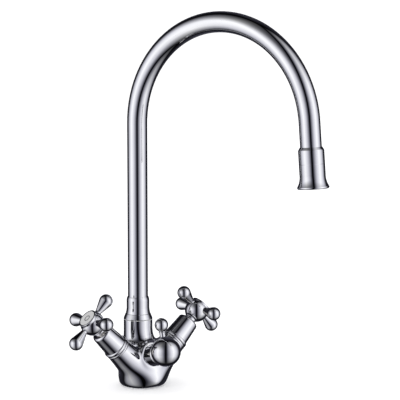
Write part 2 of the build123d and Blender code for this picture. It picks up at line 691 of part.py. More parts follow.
def spout_collar():
    """Turned socket of the spout: chrome collar outside, grooved spigot in the column below."""
    low = COLUMN_TOP + COLLAR_LIFT
    band = (COLLAR_BAND_R, COLLAR_BAND_TOP)
    step = (COLLAR_BAND_R - 0.35, COLLAR_BAND_TOP + 0.3)
    sleeve = (SLEEVE_R, SLEEVE_FOOT)
    shoulder = (SLEEVE_R, SLEEVE_SHOULDER)
    lip = (TUBE_R + 0.4, COLLAR_TOP)
    hollow = (SLEEVE_R + 0.35 * (step[0] - SLEEVE_R), (step[1] + SLEEVE_FOOT) / 2)
    swell = (SLEEVE_R - 0.25 * (SLEEVE_R - lip[0]), (SLEEVE_SHOULDER + COLLAR_TOP) / 2)
    outside = turned_curve(
        Polyline((0, low), (COLLAR_R - 0.4, low), (COLLAR_R, low + 0.4), (COLLAR_R, low + 0.9),
                 band, step),
        ThreePointArc(step, hollow, sleeve), Line(sleeve, shoulder),
        ThreePointArc(shoulder, swell, lip), Polyline(lip, (0, COLLAR_TOP), (0, low))
    )
    collar = column * (outside + rod(SPIGOT_R, SPIGOT_END, low + 1))
    collar -= column * rod(SPIGOT_BORE_R, SPIGOT_END - 1, COLLAR_TOP + 1)
    collar -= column * rod(TUBE_R + SLIP_GAP, TUBE_FOOT, COLLAR_TOP + 1)
    for height in O_RING_HEIGHTS:
        root = SOCKET_R - RUN_GAP - 2 * O_RING_R
        collar -= column * ring(SPIGOT_R + 1, root, height - O_RING_R, height + O_RING_R)
    half = KEEPER_GROOVE / 2
    return collar - column * ring(SPIGOT_R + 1, KEEPER_ROOT_R, KEEPER_Z - half, KEEPER_Z + half)


def spout_rings():
    """The two O-rings of the spigot."""
    circle = Circle(O_RING_R - SLIP_GAP)
    middle = SOCKET_R - RUN_GAP - O_RING_R
    rings = [revolve(Plane.XZ * (Pos(middle, height) * circle), Axis.Z) for height in O_RING_HEIGHTS]
    return spread([column * turned_ring for turned_ring in rings])


def spout_bush():
    """Acetal bush in the top of the column, with a thin flange under the collar."""
    inner = SPIGOT_R + RUN_GAP
    bush = ring(BUSH_R, inner, BUSH_FOOT, COLUMN_TOP)
    flange = ring(COLLAR_R - 0.6, inner, COLUMN_TOP, COLUMN_TOP + COLLAR_LIFT - RUN_GAP)
    return column * (bush + flange)


def keeper_screw():
    """Set screw in the back of the column whose tip rides in the spigot's groove."""
    tip, root = KEEPER_ROOT_R + 0.3, SPIGOT_R + 0.25
    flush = COLUMN_R - 0.6
    screw = turned([(0, tip), (KEEPER_TIP_R, tip), (KEEPER_TIP_R, root), (KEEPER_SCREW_R - SLIP_GAP, root),
                    (KEEPER_SCREW_R - SLIP_GAP, flush), (0, flush)])
    socket = extrude(RegularPolygon(1.25, 6, major_radius=False), 3)
    screw -= Pos(0, 0, flush - 2) * socket
    return Plane(origin=(0, COLUMN_Y, KEEPER_Z), x_dir=(1, 0, 0), z_dir=(0, 1, 0)) * screw


def filter_seal():
    """Small rubber ring round the foot of the inner tube."""
    low = WELL_FLOOR - FILTER_SEAL_T
    return column * ring(FILTER_SEAL_R - SLIP_GAP, FILTER_TUBE_R + RUN_GAP, low, WELL_FLOOR - SLIP_GAP)


# ---------------------------------------------------------------- nozzle
# Depths count along the flow from the nozzle's shoulder.


def nozzle_socket():
    """Upper half of the nozzle, brazed on the end of the tube."""
    socket = turned(
        [(0, 0), (TUBE_R + 0.4, 0), (NOZZLE_R, NOZZLE_SHOULDER), (NOZZLE_R, NOZZLE_SEAM),
         (0, NOZZLE_SEAM)],
        [((NOZZLE_R, NOZZLE_SHOULDER), 2.5)]
    )
    socket -= rod(TUBE_R + SLIP_GAP, -1, TUBE_INTO_NOZZLE)
    return socket - rod(NOZZLE_THREAD_R + SLIP_GAP, TUBE_INTO_NOZZLE - 1, NOZZLE_SEAM + 1)


def aerator_bell():
    """Lower half of the nozzle: screwed in above, flaring to a rolled rim below."""
    top = NOZZLE_SEAM + NOZZLE_SEAM_GAP
    rim = NOZZLE_LENGTH - BELL_LIP
    start = (NOZZLE_R, rim - BELL_FLARE)
    flare_end = (BELL_R - 0.25, rim)
    waist = (NOZZLE_R + 0.22 * (BELL_R - NOZZLE_R), rim - 0.42 * BELL_FLARE)
    outside = turned_curve(
        Polyline((0, top), (NOZZLE_R, top), start), ThreePointArc(start, waist, flare_end),
        ThreePointArc(flare_end, (BELL_R + 0.1, rim + BELL_LIP / 2), (BELL_R - 0.9, NOZZLE_LENGTH)),
        Polyline((BELL_R - 0.9, NOZZLE_LENGTH), (0, NOZZLE_LENGTH), (0, top))
    )
    outside += rod(NOZZLE_THREAD_R, TUBE_INTO_NOZZLE + NOZZLE_SEAL_T + 0.1, top + 1)
    bore = INSERT_R + SLIP_GAP
    seat = NOZZLE_LENGTH - INSERT_RISE - INSERT_T
    outside -= rod(NOZZLE_THREAD_R - BELL_WALL, TUBE_INTO_NOZZLE, NOZZLE_LENGTH)
    return outside - rod(bore, seat, NOZZLE_LENGTH + 1)


def nozzle_seal():
    """Rubber washer between the tube's end and the bell's thread."""
    return ring(NOZZLE_THREAD_R - 0.1, NOZZLE_THREAD_R - 2.2, TUBE_INTO_NOZZLE + 0.05,
                TUBE_INTO_NOZZLE + NOZZLE_SEAL_T)


def aerator_insert():
    """Plastic outlet insert with radial slots round the hole for the filtered-water jet."""
    low = NOZZLE_LENGTH - INSERT_RISE - INSERT_T
    insert = rod(INSERT_R, low, low + INSERT_T) - rod(JET_R + SLIP_GAP, low - 1, low + INSERT_T + 1)
    slot = Box(INSERT_R - JET_R - 3, 1.6, INSERT_T + 2)
    slot = Pos((JET_R + INSERT_R) / 2, 0, low + INSERT_T / 2) * slot
    for index in range(INSERT_SLOTS):
        insert -= Rot(0, 0, 360 * index / INSERT_SLOTS) * slot
    return insert


def filter_jet():
    """Outlet of the inner tube, in the middle of the insert."""
    low = NOZZLE_LENGTH - INSERT_RISE - INSERT_T
    jet = ring(JET_R, FILTER_TUBE_R + SLIP_GAP, low - 6, low)
    return jet + ring(JET_R, FILTER_TUBE_R - FILTER_TUBE_WALL, low, low + INSERT_T + 0.8)


# ---------------------------------------------------------------- assembly


def write(name, shape):
    """Write one sub-part, under its own name."""
    export_step(shape, f"parts/{name}.step")


def write_arm_valve(name, side):
    """Everything that one arm carries."""
    seat = arm_plane(side, ARM_LENGTH)
    write(f"{name}_trim_ring", seat * trim_ring())
    write(f"{name}_bonnet", seat * bonnet())
    write(f"{name}_seat_seal", seat * seat_seal(CAGE_R - 0.1, DISC_R - 2.4, -CHAMBER_DEPTH))
    write(f"{name}_fixed_disc", seat * ceramic_disc(DISC_R, -CHAMBER_DEPTH + SEAT_SEAL_T))
    neck_top = TRIM_T + BONNET_LENGTH + HANDLE_GAP / 2
    cage = valve_cage(CAGE_R, CAGE_WALL, CHAMBER_R - RUN_GAP, THREAD_LENGTH, HEX_AF, HEX_T, NECK_R,
                      neck_top, SPINDLE_R, -CHAMBER_DEPTH, WINDOW_W)
    write(f"{name}_cartridge", seat * cage)
    closed = seat * Rot(0, 0, 90)
    write(f"{name}_moving_disc",
          closed * ceramic_disc(DISC_R, -CHAMBER_DEPTH + SEAT_SEAL_T + DISC_T + FILM_GAP))
    shut = Rot(0, 0, HANDLE_TURN)
    write(f"{name}_spindle", seat * shut * handle_spindle())
    write(f"{name}_spindle_ring", seat * spindle_ring(SPINDLE_R, SPINDLE_RING_AT))
    handle = arm_plane(side, HANDLE_AT) * shut
    write(f"{name}_handle_hub", handle * handle_hub())
    pin = handle_pin()
    write(f"{name}_handle_arms", spread([handle * (arm * pin) for arm in handle_arm_planes()]))
    write(f"{name}_handle_screw", handle * handle_screw())
    write(f"{name}_index_disc", handle * index_disc())


def write_front_valve():
    """The filtered-water valve, its knob and its lever."""
    recess = boss_plane(-BOSS_RECESS)
    write("front_bonnet", recess * front_bonnet())
    write("front_seat_seal", recess * seat_seal(FRONT_CAGE_R - 0.1, FRONT_DISC_R - 2, -FRONT_DEEP))
    write("front_fixed_disc", recess * ceramic_disc(FRONT_DISC_R, -FRONT_DEEP + SEAT_SEAL_T))
    cage = valve_cage(FRONT_CAGE_R, FRONT_CAGE_WALL, FRONT_CHAMBER_R - RUN_GAP, FRONT_THREAD_LENGTH,
                      FRONT_HEX_AF, FRONT_HEX_T, FRONT_NECK_R, FRONT_BONNET_LENGTH + 0.3,
                      FRONT_SPINDLE_R, -FRONT_DEEP, FRONT_WINDOW_W)
    write("front_cartridge", recess * cage)
    closed = recess * Rot(0, 0, 90)
    write("front_moving_disc",
          closed * ceramic_disc(FRONT_DISC_R, -FRONT_DEEP + SEAT_SEAL_T + DISC_T + FILM_GAP))
    write("front_spindle", recess * front_spindle())
    write("front_spindle_ring", recess * spindle_ring(FRONT_SPINDLE_R, SPINDLE_RING_AT))
    write("front_knob", boss_plane(0) * front_knob())
    write("front_lever", boss_plane(0) * lever_plane() * pin_lever())
    write("front_grub_screw", boss_plane(0) * grub_plane() * grub_screw())


def write_spout():
    """The swivelling spout with its nozzle, and what seals and holds it in the column."""
    write("spout_collar", spout_collar())
    write("spout_tube", spout_tube())
    write("spout_o_rings", spout_rings())
    write("spout_bush", spout_bush())
    write("spout_keeper_screw", keeper_screw())
    write("filter_tube", filter_tube())
    write("filter_tube_seal", filter_seal())
    nozzle = nozzle_plane()
    write("nozzle_socket", nozzle * nozzle_socket())
    write("nozzle_seal", nozzle * nozzle_seal())
    write("aerator_bell", nozzle * aerator_bell())
    write("aerator_insert", nozzle * aerator_insert())
    write("filter_jet", nozzle * filter_jet())


os.makedirs("parts", exist_ok=True)
write("body_casting", body_casting())
write("deck_seal", deck_seal())
for arm_name, arm_side in ARM_ENDS.items():
    write_arm_valve(arm_name, arm_side)
write_front_valve()
write_spout()
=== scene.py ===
import json
import math

import bpy
import numpy as np
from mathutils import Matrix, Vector


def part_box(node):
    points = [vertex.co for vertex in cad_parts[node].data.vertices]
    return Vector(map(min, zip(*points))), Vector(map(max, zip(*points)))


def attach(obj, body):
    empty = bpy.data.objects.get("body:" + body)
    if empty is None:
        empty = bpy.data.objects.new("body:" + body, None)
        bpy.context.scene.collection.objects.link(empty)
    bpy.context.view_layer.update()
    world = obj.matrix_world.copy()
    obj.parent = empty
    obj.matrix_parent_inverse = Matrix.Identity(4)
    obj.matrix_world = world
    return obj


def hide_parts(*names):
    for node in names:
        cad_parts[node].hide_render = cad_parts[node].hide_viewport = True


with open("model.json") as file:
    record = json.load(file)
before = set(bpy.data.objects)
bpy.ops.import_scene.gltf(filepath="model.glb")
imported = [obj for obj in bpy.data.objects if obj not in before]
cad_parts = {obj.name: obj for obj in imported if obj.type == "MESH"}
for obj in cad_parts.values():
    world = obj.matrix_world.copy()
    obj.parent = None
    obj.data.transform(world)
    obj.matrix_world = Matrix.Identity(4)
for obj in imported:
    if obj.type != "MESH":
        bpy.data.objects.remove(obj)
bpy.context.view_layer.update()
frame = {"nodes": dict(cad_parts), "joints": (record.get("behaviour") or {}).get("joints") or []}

nodes = frame["nodes"]

# ------------------------------------------------------------------ the photographer's place
# The camera stands to the tap's left front, a little below the top of the swan neck's arch, with
# a long lens, so that the arch is seen from the side and both handles show.
CAMERA_AT = (-0.9007, -1.3964, 0.39005)
CAMERA_AIM = (0.0284, -0.0720, 0.2083)
CAMERA_LENS, SENSOR_WIDTH = 138.5, 36.0     # millimetres
SIGHT_LIMIT = 50.0

camera = bpy.data.objects.new("camera", bpy.data.cameras.new("camera"))
bpy.context.scene.collection.objects.link(camera)
bpy.context.scene.camera = camera
camera.data.sensor_width = SENSOR_WIDTH
camera.data.lens = CAMERA_LENS
camera.data.clip_end = SIGHT_LIMIT
camera.location = CAMERA_AT
heading = Vector(CAMERA_AIM) - Vector(CAMERA_AT)
camera.rotation_euler = heading.to_track_quat("-Z", "Y").to_euler()

# ------------------------------------------------------------------ the studio
# A pale floor in an even white room. Round them stands a light tent that shows in reflections
# alone: it fades from a dark slot at the photographer's side to broad white and back to dark.
ROOM_WHITE = 1.12
TENT_CENTRE = (0.02, -0.06, 0.2)
TENT_R, TENT_ROWS, TENT_COLUMNS = 6.0, 33, 64
# The rig, as pairs of an angle in degrees and a shade on a screen's scale of 0 to 255, in round
# figures. Round the tap: two equal broad panels 65 degrees off the camera's line, a slot between
# them, black flags beyond them at 120 degrees, and a dim rear wall. With height: each panel fades
# to a dim floor and to a black ceiling, the left one from lower down.
TENT_ROUND = ((-180, 70), (-150, 40), (-120, 20), (-95, 200), (-65, 255), (-40, 210), (-12, 80),
              (-5, 5), (5, 5), (12, 80), (40, 210), (65, 255), (95, 200), (120, 20), (150, 40),
              (180, 70))
TENT_RISE = ((-90, 50), (-60, 160), (-30, 240), (0, 255), (15, 255), (45, 140), (75, 60), (90, 10))
TENT_RISE_RIGHT = ((-90, 50), (-60, 160), (-30, 240), (0, 255), (30, 255), (60, 200), (75, 140),
                   (90, 10))
SIDES_MIX = 0.35          # share of the width over which left and right run into each other
FULL_SHADE = 255
BLUE_LEAST, BLUE_MORE = 1.02, 0.42
FLOOR_R, FLOOR_SIDES = 5.0, 96
FLOOR_COLOUR, FLOOR_ROUGHNESS, FLOOR_GLOW = (0.97, 0.97, 0.975, 1), 0.9, 0.22


def screen_to_light(shade):
    """Light for a screen shade of 0 to 255: the sRGB curve undone."""
    share = shade / FULL_SHADE
    return share / 12.92 if share <= 0.04045 else ((share + 0.055) / 1.055) ** 2.4


def grey(shade):
    """Cool grey of a screen shade: blue stands above red and green by the factor BLUE_LEAST, and
    by up to BLUE_MORE on top of it the darker the shade is."""
    light = screen_to_light(shade)
    lift = BLUE_LEAST + BLUE_MORE * (1 - shade / FULL_SHADE)
    return (light, light, light * lift)


class Graph:
    """Adds nodes to a material and links them in reading order."""

    def __init__(self, tree):
        self.tree = tree
        tree.nodes.clear()

    def add(self, kind, **settings):
        """A node; inputs are given by name or number, and another node's socket is linked."""
        node = self.tree.nodes.new(kind)
        inputs = settings.pop("inputs", {})
        for key, value in settings.items():
            setattr(node, key, value)
        for key, value in inputs.items():
            if isinstance(value, bpy.types.NodeSocket):
                self.tree.links.new(value, node.inputs[key])
            else:
                node.inputs[key].default_value = value
        return node

    def vector(self, operation, *values):
        """A Vector Math node on the values in their order."""
        return self.add("ShaderNodeVectorMath", operation=operation, inputs=dict(enumerate(values)))

    def rescale(self, value, low, high, first, last, **settings):
        """The value's share of the way from low to high, carried over to first and last."""
        inputs = {0: value, 1: low, 2: high, 3: first, 4: last}
        return self.add("ShaderNodeMapRange", inputs=inputs, **settings).outputs[0]

    def mix(self, share, first, second, **settings):
        """Two colours mixed; a colour Mix node has its share at 0 and its colours at 6 and 7."""
        inputs = {0: share, 6: first, 7: second}
        return self.add("ShaderNodeMix", data_type="RGBA", inputs=inputs, **settings).outputs[2]

    def ramp(self, factor, stops):
        """A colour ramp through (place, colour) stops."""
        node = self.add("ShaderNodeValToRGB", inputs={0: factor})
        elements = node.color_ramp.elements
        while len(elements) > 1:
            elements.remove(elements[-1])
        for number, (place, colour) in enumerate(stops):
            element = elements[0] if number == 0 else elements.new(place)
            element.position = place
            element.color = (*colour, 1.0)
        return node.outputs[0]


def put(name, verts, faces, smooth=True):
    """A mesh object at the origin from arrays of corners and faces."""
    mesh = bpy.data.meshes.new(name)
    mesh.from_pydata([tuple(v) for v in verts], [], [tuple(f) for f in faces])
    mesh.polygons.foreach_set("use_smooth", [smooth] * len(mesh.polygons))
    mesh.update()
    thing = bpy.data.objects.new(name, mesh)
    bpy.context.scene.collection.objects.link(thing)
    return thing


def ball_grid(centre, radius, rows, columns):
    """Sphere: x, y = radius cos(rise) (cos, sin)(turn), z = radius sin(rise), about the centre."""
    rise, turn = np.meshgrid(np.linspace(-np.pi / 2, np.pi / 2, rows),
                             np.linspace(0, 2 * np.pi, columns, endpoint=False), indexing="ij")
    points = np.stack([np.cos(rise) * np.cos(turn), np.cos(rise) * np.sin(turn), np.sin(rise)], -1)
    points = points.reshape(-1, 3) * radius + np.array(centre)
    row, column = np.meshgrid(np.arange(rows - 1), np.arange(columns), indexing="ij")
    start, after = row * columns + column, row * columns + (column + 1) % columns
    faces = np.stack([start, after, after + columns, start + columns], -1).reshape(-1, 4)
    return points, faces


def turn_stops(rounds):
    """Ramp stops for light that changes round the tap: from 0 to 1 over a full turn."""
    return [(degrees / 360 + 0.5, grey(shade)) for degrees, shade in rounds]


def rise_stops(rises):
    """Ramp stops for light that changes with height: the ramp runs on the sine of the rise."""
    return [(math.sin(math.radians(degrees)) / 2 + 0.5, (screen_to_light(shade),) * 3)
            for degrees, shade in rises]


world = bpy.data.worlds.new("white room")
bpy.context.scene.world = world
world.use_nodes = True
world.node_tree.nodes["Background"].inputs["Color"].default_value = (1.0, 1.0, 1.0, 1.0)
world.node_tree.nodes["Background"].inputs["Strength"].default_value = ROOM_WHITE
bpy.context.scene.view_settings.view_transform = "Standard"
bpy.context.scene.view_settings.look = "None"

tent = put("light_tent", *ball_grid(TENT_CENTRE, TENT_R, TENT_ROWS, TENT_COLUMNS))
for sight in ("camera", "diffuse", "transmission", "volume_scatter", "shadow"):
    setattr(tent, "visible_" + sight, False)
tent_cloth = bpy.data.materials.new("tent cloth")
tent_cloth.use_nodes = True
graph = Graph(tent_cloth.node_tree)
place = graph.add("ShaderNodeTexCoord").outputs["Object"]
offset = graph.vector("SUBTRACT", place, TENT_CENTRE).outputs["Vector"]
toward = graph.vector("NORMALIZE", offset).outputs["Vector"]
level = Vector((-heading.x, -heading.y, 0)).normalized()
beside = Vector((-level.y, level.x, 0))
ahead = graph.vector("DOT_PRODUCT", toward, level).outputs["Value"]
aside = graph.vector("DOT_PRODUCT", toward, beside).outputs["Value"]
turn = graph.add("ShaderNodeMath", operation="ARCTAN2", inputs={0: aside, 1: ahead}).outputs[0]
round_share = graph.rescale(turn, -math.pi, math.pi, 0.0, 1.0)
height = graph.add("ShaderNodeSeparateXYZ", inputs={0: toward}).outputs["Z"]
rise_share = graph.rescale(height, -1.0, 1.0, 0.0, 1.0)
round_light = graph.ramp(round_share, turn_stops(TENT_ROUND))
left_light = graph.ramp(rise_share, rise_stops(TENT_RISE))
right_light = graph.ramp(rise_share, rise_stops(TENT_RISE_RIGHT))
rightness = graph.rescale(aside, -SIDES_MIX, SIDES_MIX, 0.0, 1.0, interpolation_type="SMOOTHSTEP")
rise_light = graph.mix(rightness, left_light, right_light)
both = graph.mix(1.0, round_light, rise_light, blend_type="MULTIPLY")
glow = graph.add("ShaderNodeEmission", inputs={"Color": both, "Strength": ROOM_WHITE})
graph.add("ShaderNodeOutputMaterial", inputs={"Surface": glow.outputs[0]})
tent.data.materials.append(tent_cloth)

floor_points = np.array([(FLOOR_R * math.cos(a), FLOOR_R * math.sin(a), 0)
                         for a in np.linspace(0, 2 * math.pi, FLOOR_SIDES, endpoint=False)])
floor = put("floor", floor_points, [range(FLOOR_SIDES)], smooth=False)
floor.visible_glossy = False
floor_paint = bpy.data.materials.new("floor paint")
floor_paint.use_nodes = True
graph = Graph(floor_paint.node_tree)
shader = graph.add("ShaderNodeBsdfPrincipled", inputs={
    "Base Color": FLOOR_COLOUR, "Roughness": FLOOR_ROUGHNESS, "Specular IOR Level": 0.0,
    "Emission Color": (1, 1, 1, 1), "Emission Strength": FLOOR_GLOW})
graph.add("ShaderNodeOutputMaterial", inputs={"Surface": shader.outputs[0]})
floor.data.materials.append(floor_paint)

# ------------------------------------------------------------------ body casting
# Brass casting of foot, column, two valve arms and front boss in one piece, ground, polished
# and chrome plated. Its ports in the underside are tapped for the tails and the fixing stud.
# The cast fillets between its limbs are wide and run into each other.
FOOT_R, CHIN_R, COLUMN_R = 0.0230, 0.0266, 0.0158
CHIN_Y, COLUMN_Y = -0.0024, 0.0060
CHIN_Z, COLUMN_STRAIGHT, COLUMN_TOP = 0.0085, 0.0500, 0.0717
CHIN_ROUND, NECK_ROUND, FOOT_EDGE = 0.0065, 0.0120, 0.0060
ARM_ROOT_R, ARM_R, ARM_LENGTH, ARM_ROOT_ROUND = 0.0190, 0.0138, 0.0523, 0.0120
LIP_R, LIP_WIDTH, LIP_ROUND = 0.0143, 0.0028, 0.0008
BOSS_R, BOSS_LENGTH, BOSS_ROUND = 0.0150, 0.0220, 0.0060
ARMS_FILLET, TRUNK_FILLET, BOSS_FILLET_LOW, BOSS_FILLET_HIGH = 0.024, 0.015, 0.006, 0.022
BOSS_FILLET_FROM, BOSS_FILLET_TO = 0.042, 0.056     # heights between which the boss's fillet widens
CHAMBER_R, CHAMBER_DEPTH = 0.0095, 0.0213           # valve chamber of an arm
BOSS_CHAMBER_R, BOSS_CHAMBER_DEPTH = 0.0071, 0.0190
BOSS_RECESS_R, BOSS_RECESS = 0.0124, 0.0020         # seat of the sleeve in the boss's end
PORT_R, PORT_DEPTH, PORT_X, PORT_Y, FILTER_PORT_Y = 0.0045, 0.0120, 0.0110, -0.0020, -0.0126
WATERWAY_R, FILTER_WAY_R, FILTER_WAY_TOP = 0.0028, 0.0020, 0.0280
STUD_R, STUD_DEPTH, STUD_Y = 0.0034, 0.0140, 0.0135
WELL_R, WELL_FLOOR = 0.0070, 0.0270                 # mixing well below the spout's bore
SPOUT_BORE_R, SPOUT_BORE_FLOOR = 0.0120, 0.0400
BUSH_SEAT_R, BUSH_FOOT = 0.01332, 0.0657
BORES_TOP = 0.0730                                  # clear above the column
KEEPER_Z, KEEPER_HOLE_R, KEEPER_HOLE_REACH = 0.0605, 0.0025, 0.018
GROOVE_R, GROOVE_WIDTH, GROOVE_DEPTH = 0.0186, 0.0020, 0.0024
OVERCUT = 0.001           # by which a drilling starts outside the metal or runs into the next one

# How a skin is worked out. Its grid has a margin of cells round the piece. Slopes are taken over
# a fortieth of a cell to either side. A corner on a flat is held near the middle of its cell's
# crossings, and then steps down to the skin three times, by a quarter of a cell at most. Past an
# edge sharper than 28 degrees a face's slope is read a little way in from its corner.
SKIN_CELL, GRID_SHIFT, MARGIN_CELLS = 0.0008, 0.37, 8
SLOPE_PARTS, MIDDLE_HOLD = 40, 0.05
SETTLE_STEPS, SETTLE_PARTS, STEEP_LEAST = 3, 4, 0.04
SHARP_EDGE, INTO_FACE = math.radians(28), 0.3

# What all finishes share: soft patches of wear in shade and roughness, and a finer grain that
# makes the relief.
WEAR_DETAIL, WEAR_ROUGHNESS, WEAR_LOW, WEAR_HIGH = 4.0, 0.55, 0.3, 0.7
WORN_SHADE, WORN_BELOW, WHOLE_ABOVE = 0.94, 0.25, 0.75
FINE_TIMES, FINE_DETAIL, FINE_STRENGTH = 14, 3.0, 0.6

joints = {joint["name"]: joint for joint in frame["joints"]}


def finish(name, colour, roughness, metallic=0.0, spread=0.3, grain=60.0, relief=0.0, **extra):
    """A finish with soft patches, grain of them to the metre: over them its roughness drifts by
    the share spread to either side and its colour a little. Relief is the height in metres of
    the finer grain."""
    paint = bpy.data.materials.new(name)
    paint.use_nodes = True
    made = Graph(paint.node_tree)
    spot = made.add("ShaderNodeTexCoord").outputs["Object"]
    wear = made.add("ShaderNodeTexNoise", inputs={
        "Vector": spot, "Scale": grain, "Detail": WEAR_DETAIL, "Roughness": WEAR_ROUGHNESS}).outputs[0]
    rough = made.rescale(wear, WEAR_LOW, WEAR_HIGH, roughness * (1 - spread), roughness * (1 + spread))
    inputs = {"Roughness": rough, "Metallic": metallic}
    tone = [c * WORN_SHADE for c in colour]
    inputs["Base Color"] = made.ramp(wear, [(WORN_BELOW, tone), (WHOLE_ABOVE, colour)])
    inputs.update(extra)
    if relief:
        fine = made.add("ShaderNodeTexNoise", inputs={
            "Vector": spot, "Scale": grain * FINE_TIMES, "Detail": FINE_DETAIL})
        bump = made.add("ShaderNodeBump", inputs={
            "Height": fine.outputs[0], "Strength": FINE_STRENGTH, "Distance": relief})
        inputs["Normal"] = bump.outputs[0]
    surface = made.add("ShaderNodeBsdfPrincipled", inputs=inputs)
    made.add("ShaderNodeOutputMaterial", inputs={"Surface": surface.outputs[0]})
    return paint


def dress(paint, *names):
    """Gives CAD nodes a finish in place of their plain one."""
    for name in names:
        slots = nodes[name].data.materials
        slots.clear()
        slots.append(paint)


def along(points, start, way):
    """Distance along an axis, t = (p - start).way, and from it, r = |p - start - t way|."""
    offset = points - start
    run = offset @ way
    return run, np.sqrt(np.maximum((offset * offset).sum(-1) - run * run, 0))


def melt(one, other, reach):
    """Fillet between two fields: the lesser of them, less a sixth of reach times the cube of
    how near they are to each other, where nearness falls from 1 to 0 over the reach."""
    near = np.maximum(reach - np.abs(one - other), 0) / reach
    return np.minimum(one, other) - near ** 3 * reach / 6


def soft_ramp(run, reach):
    """Nought before 0 and run after it, with a round bend in between: a parabola over the reach."""
    return np.where(np.abs(run) < reach, (run + reach) ** 2 / (4 * reach), np.maximum(run, 0))


def trunk_field(points):
    """Distance from the middle of level circles, less their radius. Middle and radius run
    straight from foot to chin to column, with a parabola at each bend."""
    up = points[..., 2]
    low, high = soft_ramp(up - CHIN_Z, CHIN_ROUND), soft_ramp(up - COLUMN_STRAIGHT, NECK_ROUND)
    flare, slim = (CHIN_R - FOOT_R) / CHIN_Z, (COLUMN_R - CHIN_R) / (COLUMN_STRAIGHT - CHIN_Z)
    lead, lean = CHIN_Y / CHIN_Z, (COLUMN_Y - CHIN_Y) / (COLUMN_STRAIGHT - CHIN_Z)
    radius = FOOT_R + flare * up + (slim - flare) * low - slim * high
    middle = lead * up + (lean - lead) * low - lean * high
    return (np.hypot(points[..., 0], points[..., 1] - middle) - radius) / math.hypot(1, slim)


def arm_field(points, start, way):
    """A cone that slims from root to end, rounded at its root and cut flat at its end."""
    run, reach = along(points, start, way)
    slim = (ARM_R - ARM_ROOT_R) / ARM_LENGTH
    side = (reach - ARM_ROOT_R - slim * run) / math.hypot(1, slim)
    return np.maximum(-melt(-side, run, ARM_ROOT_ROUND), run - ARM_LENGTH)


def lip_field(points, start, way):
    """A disc at the arm's end with rounded edges: the distance, in radius and run, from a disc
    smaller by the rounding, less that rounding."""
    run, reach = along(points, start, way)
    out = np.maximum(reach - LIP_R + LIP_ROUND, 0)
    beside = np.abs(run - ARM_LENGTH + LIP_WIDTH / 2) - LIP_WIDTH / 2 + LIP_ROUND
    return np.hypot(out, np.maximum(beside, 0)) - LIP_ROUND


def drill_field(points, start, end, radius):
    """A straight drilling: the greatest of the distances out of its wall and past its two ends."""
    start, end = np.array(start), np.array(end)
    length = np.linalg.norm(end - start)
    run, reach = along(points, start, (end - start) / length)
    return np.maximum(reach - radius, np.maximum(-run, run - length))


def upright(x, y, low, high, radius):
    """The ends and radius of a drilling that runs straight up."""
    return (x, y, low), (x, y, high), radius


arm_axes = {}             # where an arm's axis crosses the middle plane, and its direction
for arm in ("hot", "cold"):
    way = np.array(joints[arm + "_turn"]["axis"])
    way /= np.linalg.norm(way)
    pivot = np.array(joints[arm + "_turn"]["pos_m"])
    arm_axes[arm] = (pivot - way * (pivot[0] / way[0]), way)
boss_way = np.array(joints["filtered_turn"]["axis"])
boss_way /= np.linalg.norm(boss_way)
boss_face = np.array(joints["filtered_turn"]["pos_m"])

drillings = [upright(0, STUD_Y, -OVERCUT, STUD_DEPTH, STUD_R),
             upright(0, FILTER_PORT_Y, -OVERCUT, PORT_DEPTH, PORT_R),
             upright(0, FILTER_PORT_Y, PORT_DEPTH, FILTER_WAY_TOP, FILTER_WAY_R),
             upright(0, COLUMN_Y, WELL_FLOOR, SPOUT_BORE_FLOOR + OVERCUT, WELL_R),
             upright(0, COLUMN_Y, SPOUT_BORE_FLOOR, BORES_TOP, SPOUT_BORE_R),
             upright(0, COLUMN_Y, BUSH_FOOT, BORES_TOP, BUSH_SEAT_R),
             ((0, COLUMN_Y, KEEPER_Z), (0, COLUMN_Y + KEEPER_HOLE_REACH, KEEPER_Z), KEEPER_HOLE_R)]
for depth, radius in ((BOSS_CHAMBER_DEPTH, BOSS_CHAMBER_R), (BOSS_RECESS, BOSS_RECESS_R)):
    drillings.append((boss_face - boss_way * depth, boss_face + boss_way * OVERCUT, radius))
for start, way in arm_axes.values():
    chamber_floor = start + way * (ARM_LENGTH - CHAMBER_DEPTH)
    port = (math.copysign(PORT_X, way[0]), PORT_Y)
    drillings += [(chamber_floor, start + way * (ARM_LENGTH + OVERCUT), CHAMBER_R),
                  upright(*port, -OVERCUT, PORT_DEPTH, PORT_R),
                  ((*port, PORT_DEPTH - OVERCUT), chamber_floor, WATERWAY_R)]


def casting_field(points):
    """Trunk, arms and boss melted together, cut flat below and above, less the drillings. The
    boss's fillet widens with height, from the foot's up to the column's."""
    arms = [arm_field(points, *axis) for axis in arm_axes.values()]
    body = melt(trunk_field(points), melt(*arms, ARMS_FILLET), TRUNK_FILLET)
    run, reach = along(points, boss_face, boss_way)
    boss = np.maximum(-melt(BOSS_R - reach, -run, BOSS_ROUND), -run - BOSS_LENGTH)
    upness = np.clip((points[..., 2] - BOSS_FILLET_FROM) / (BOSS_FILLET_TO - BOSS_FILLET_FROM), 0, 1)
    body = melt(body, boss, BOSS_FILLET_LOW + (BOSS_FILLET_HIGH - BOSS_FILLET_LOW) * upness)
    body = np.maximum(-melt(-body, points[..., 2], FOOT_EDGE), points[..., 2] - COLUMN_TOP)
    for axis in arm_axes.values():
        body = np.minimum(body, lip_field(points, *axis))
    for drilling in drillings:
        body = np.maximum(body, -drill_field(points, *drilling))
    groove = np.abs(np.hypot(points[..., 0], points[..., 1]) - GROOVE_R) - GROOVE_WIDTH / 2
    return np.maximum(body, -np.maximum(groove, points[..., 2] - GROOVE_DEPTH))


def climb(field, points, step):
    """Gradient of a field, from its differences over twice the step."""
    rises = [field(points + step * way) - field(points - step * way) for way in np.eye(3)]
    return np.stack(rises, -1) / (2 * step)


def unit(arrows):
    """Arrows of length one."""
    return arrows / np.maximum(np.linalg.norm(arrows, axis=-1, keepdims=True), 1e-9)


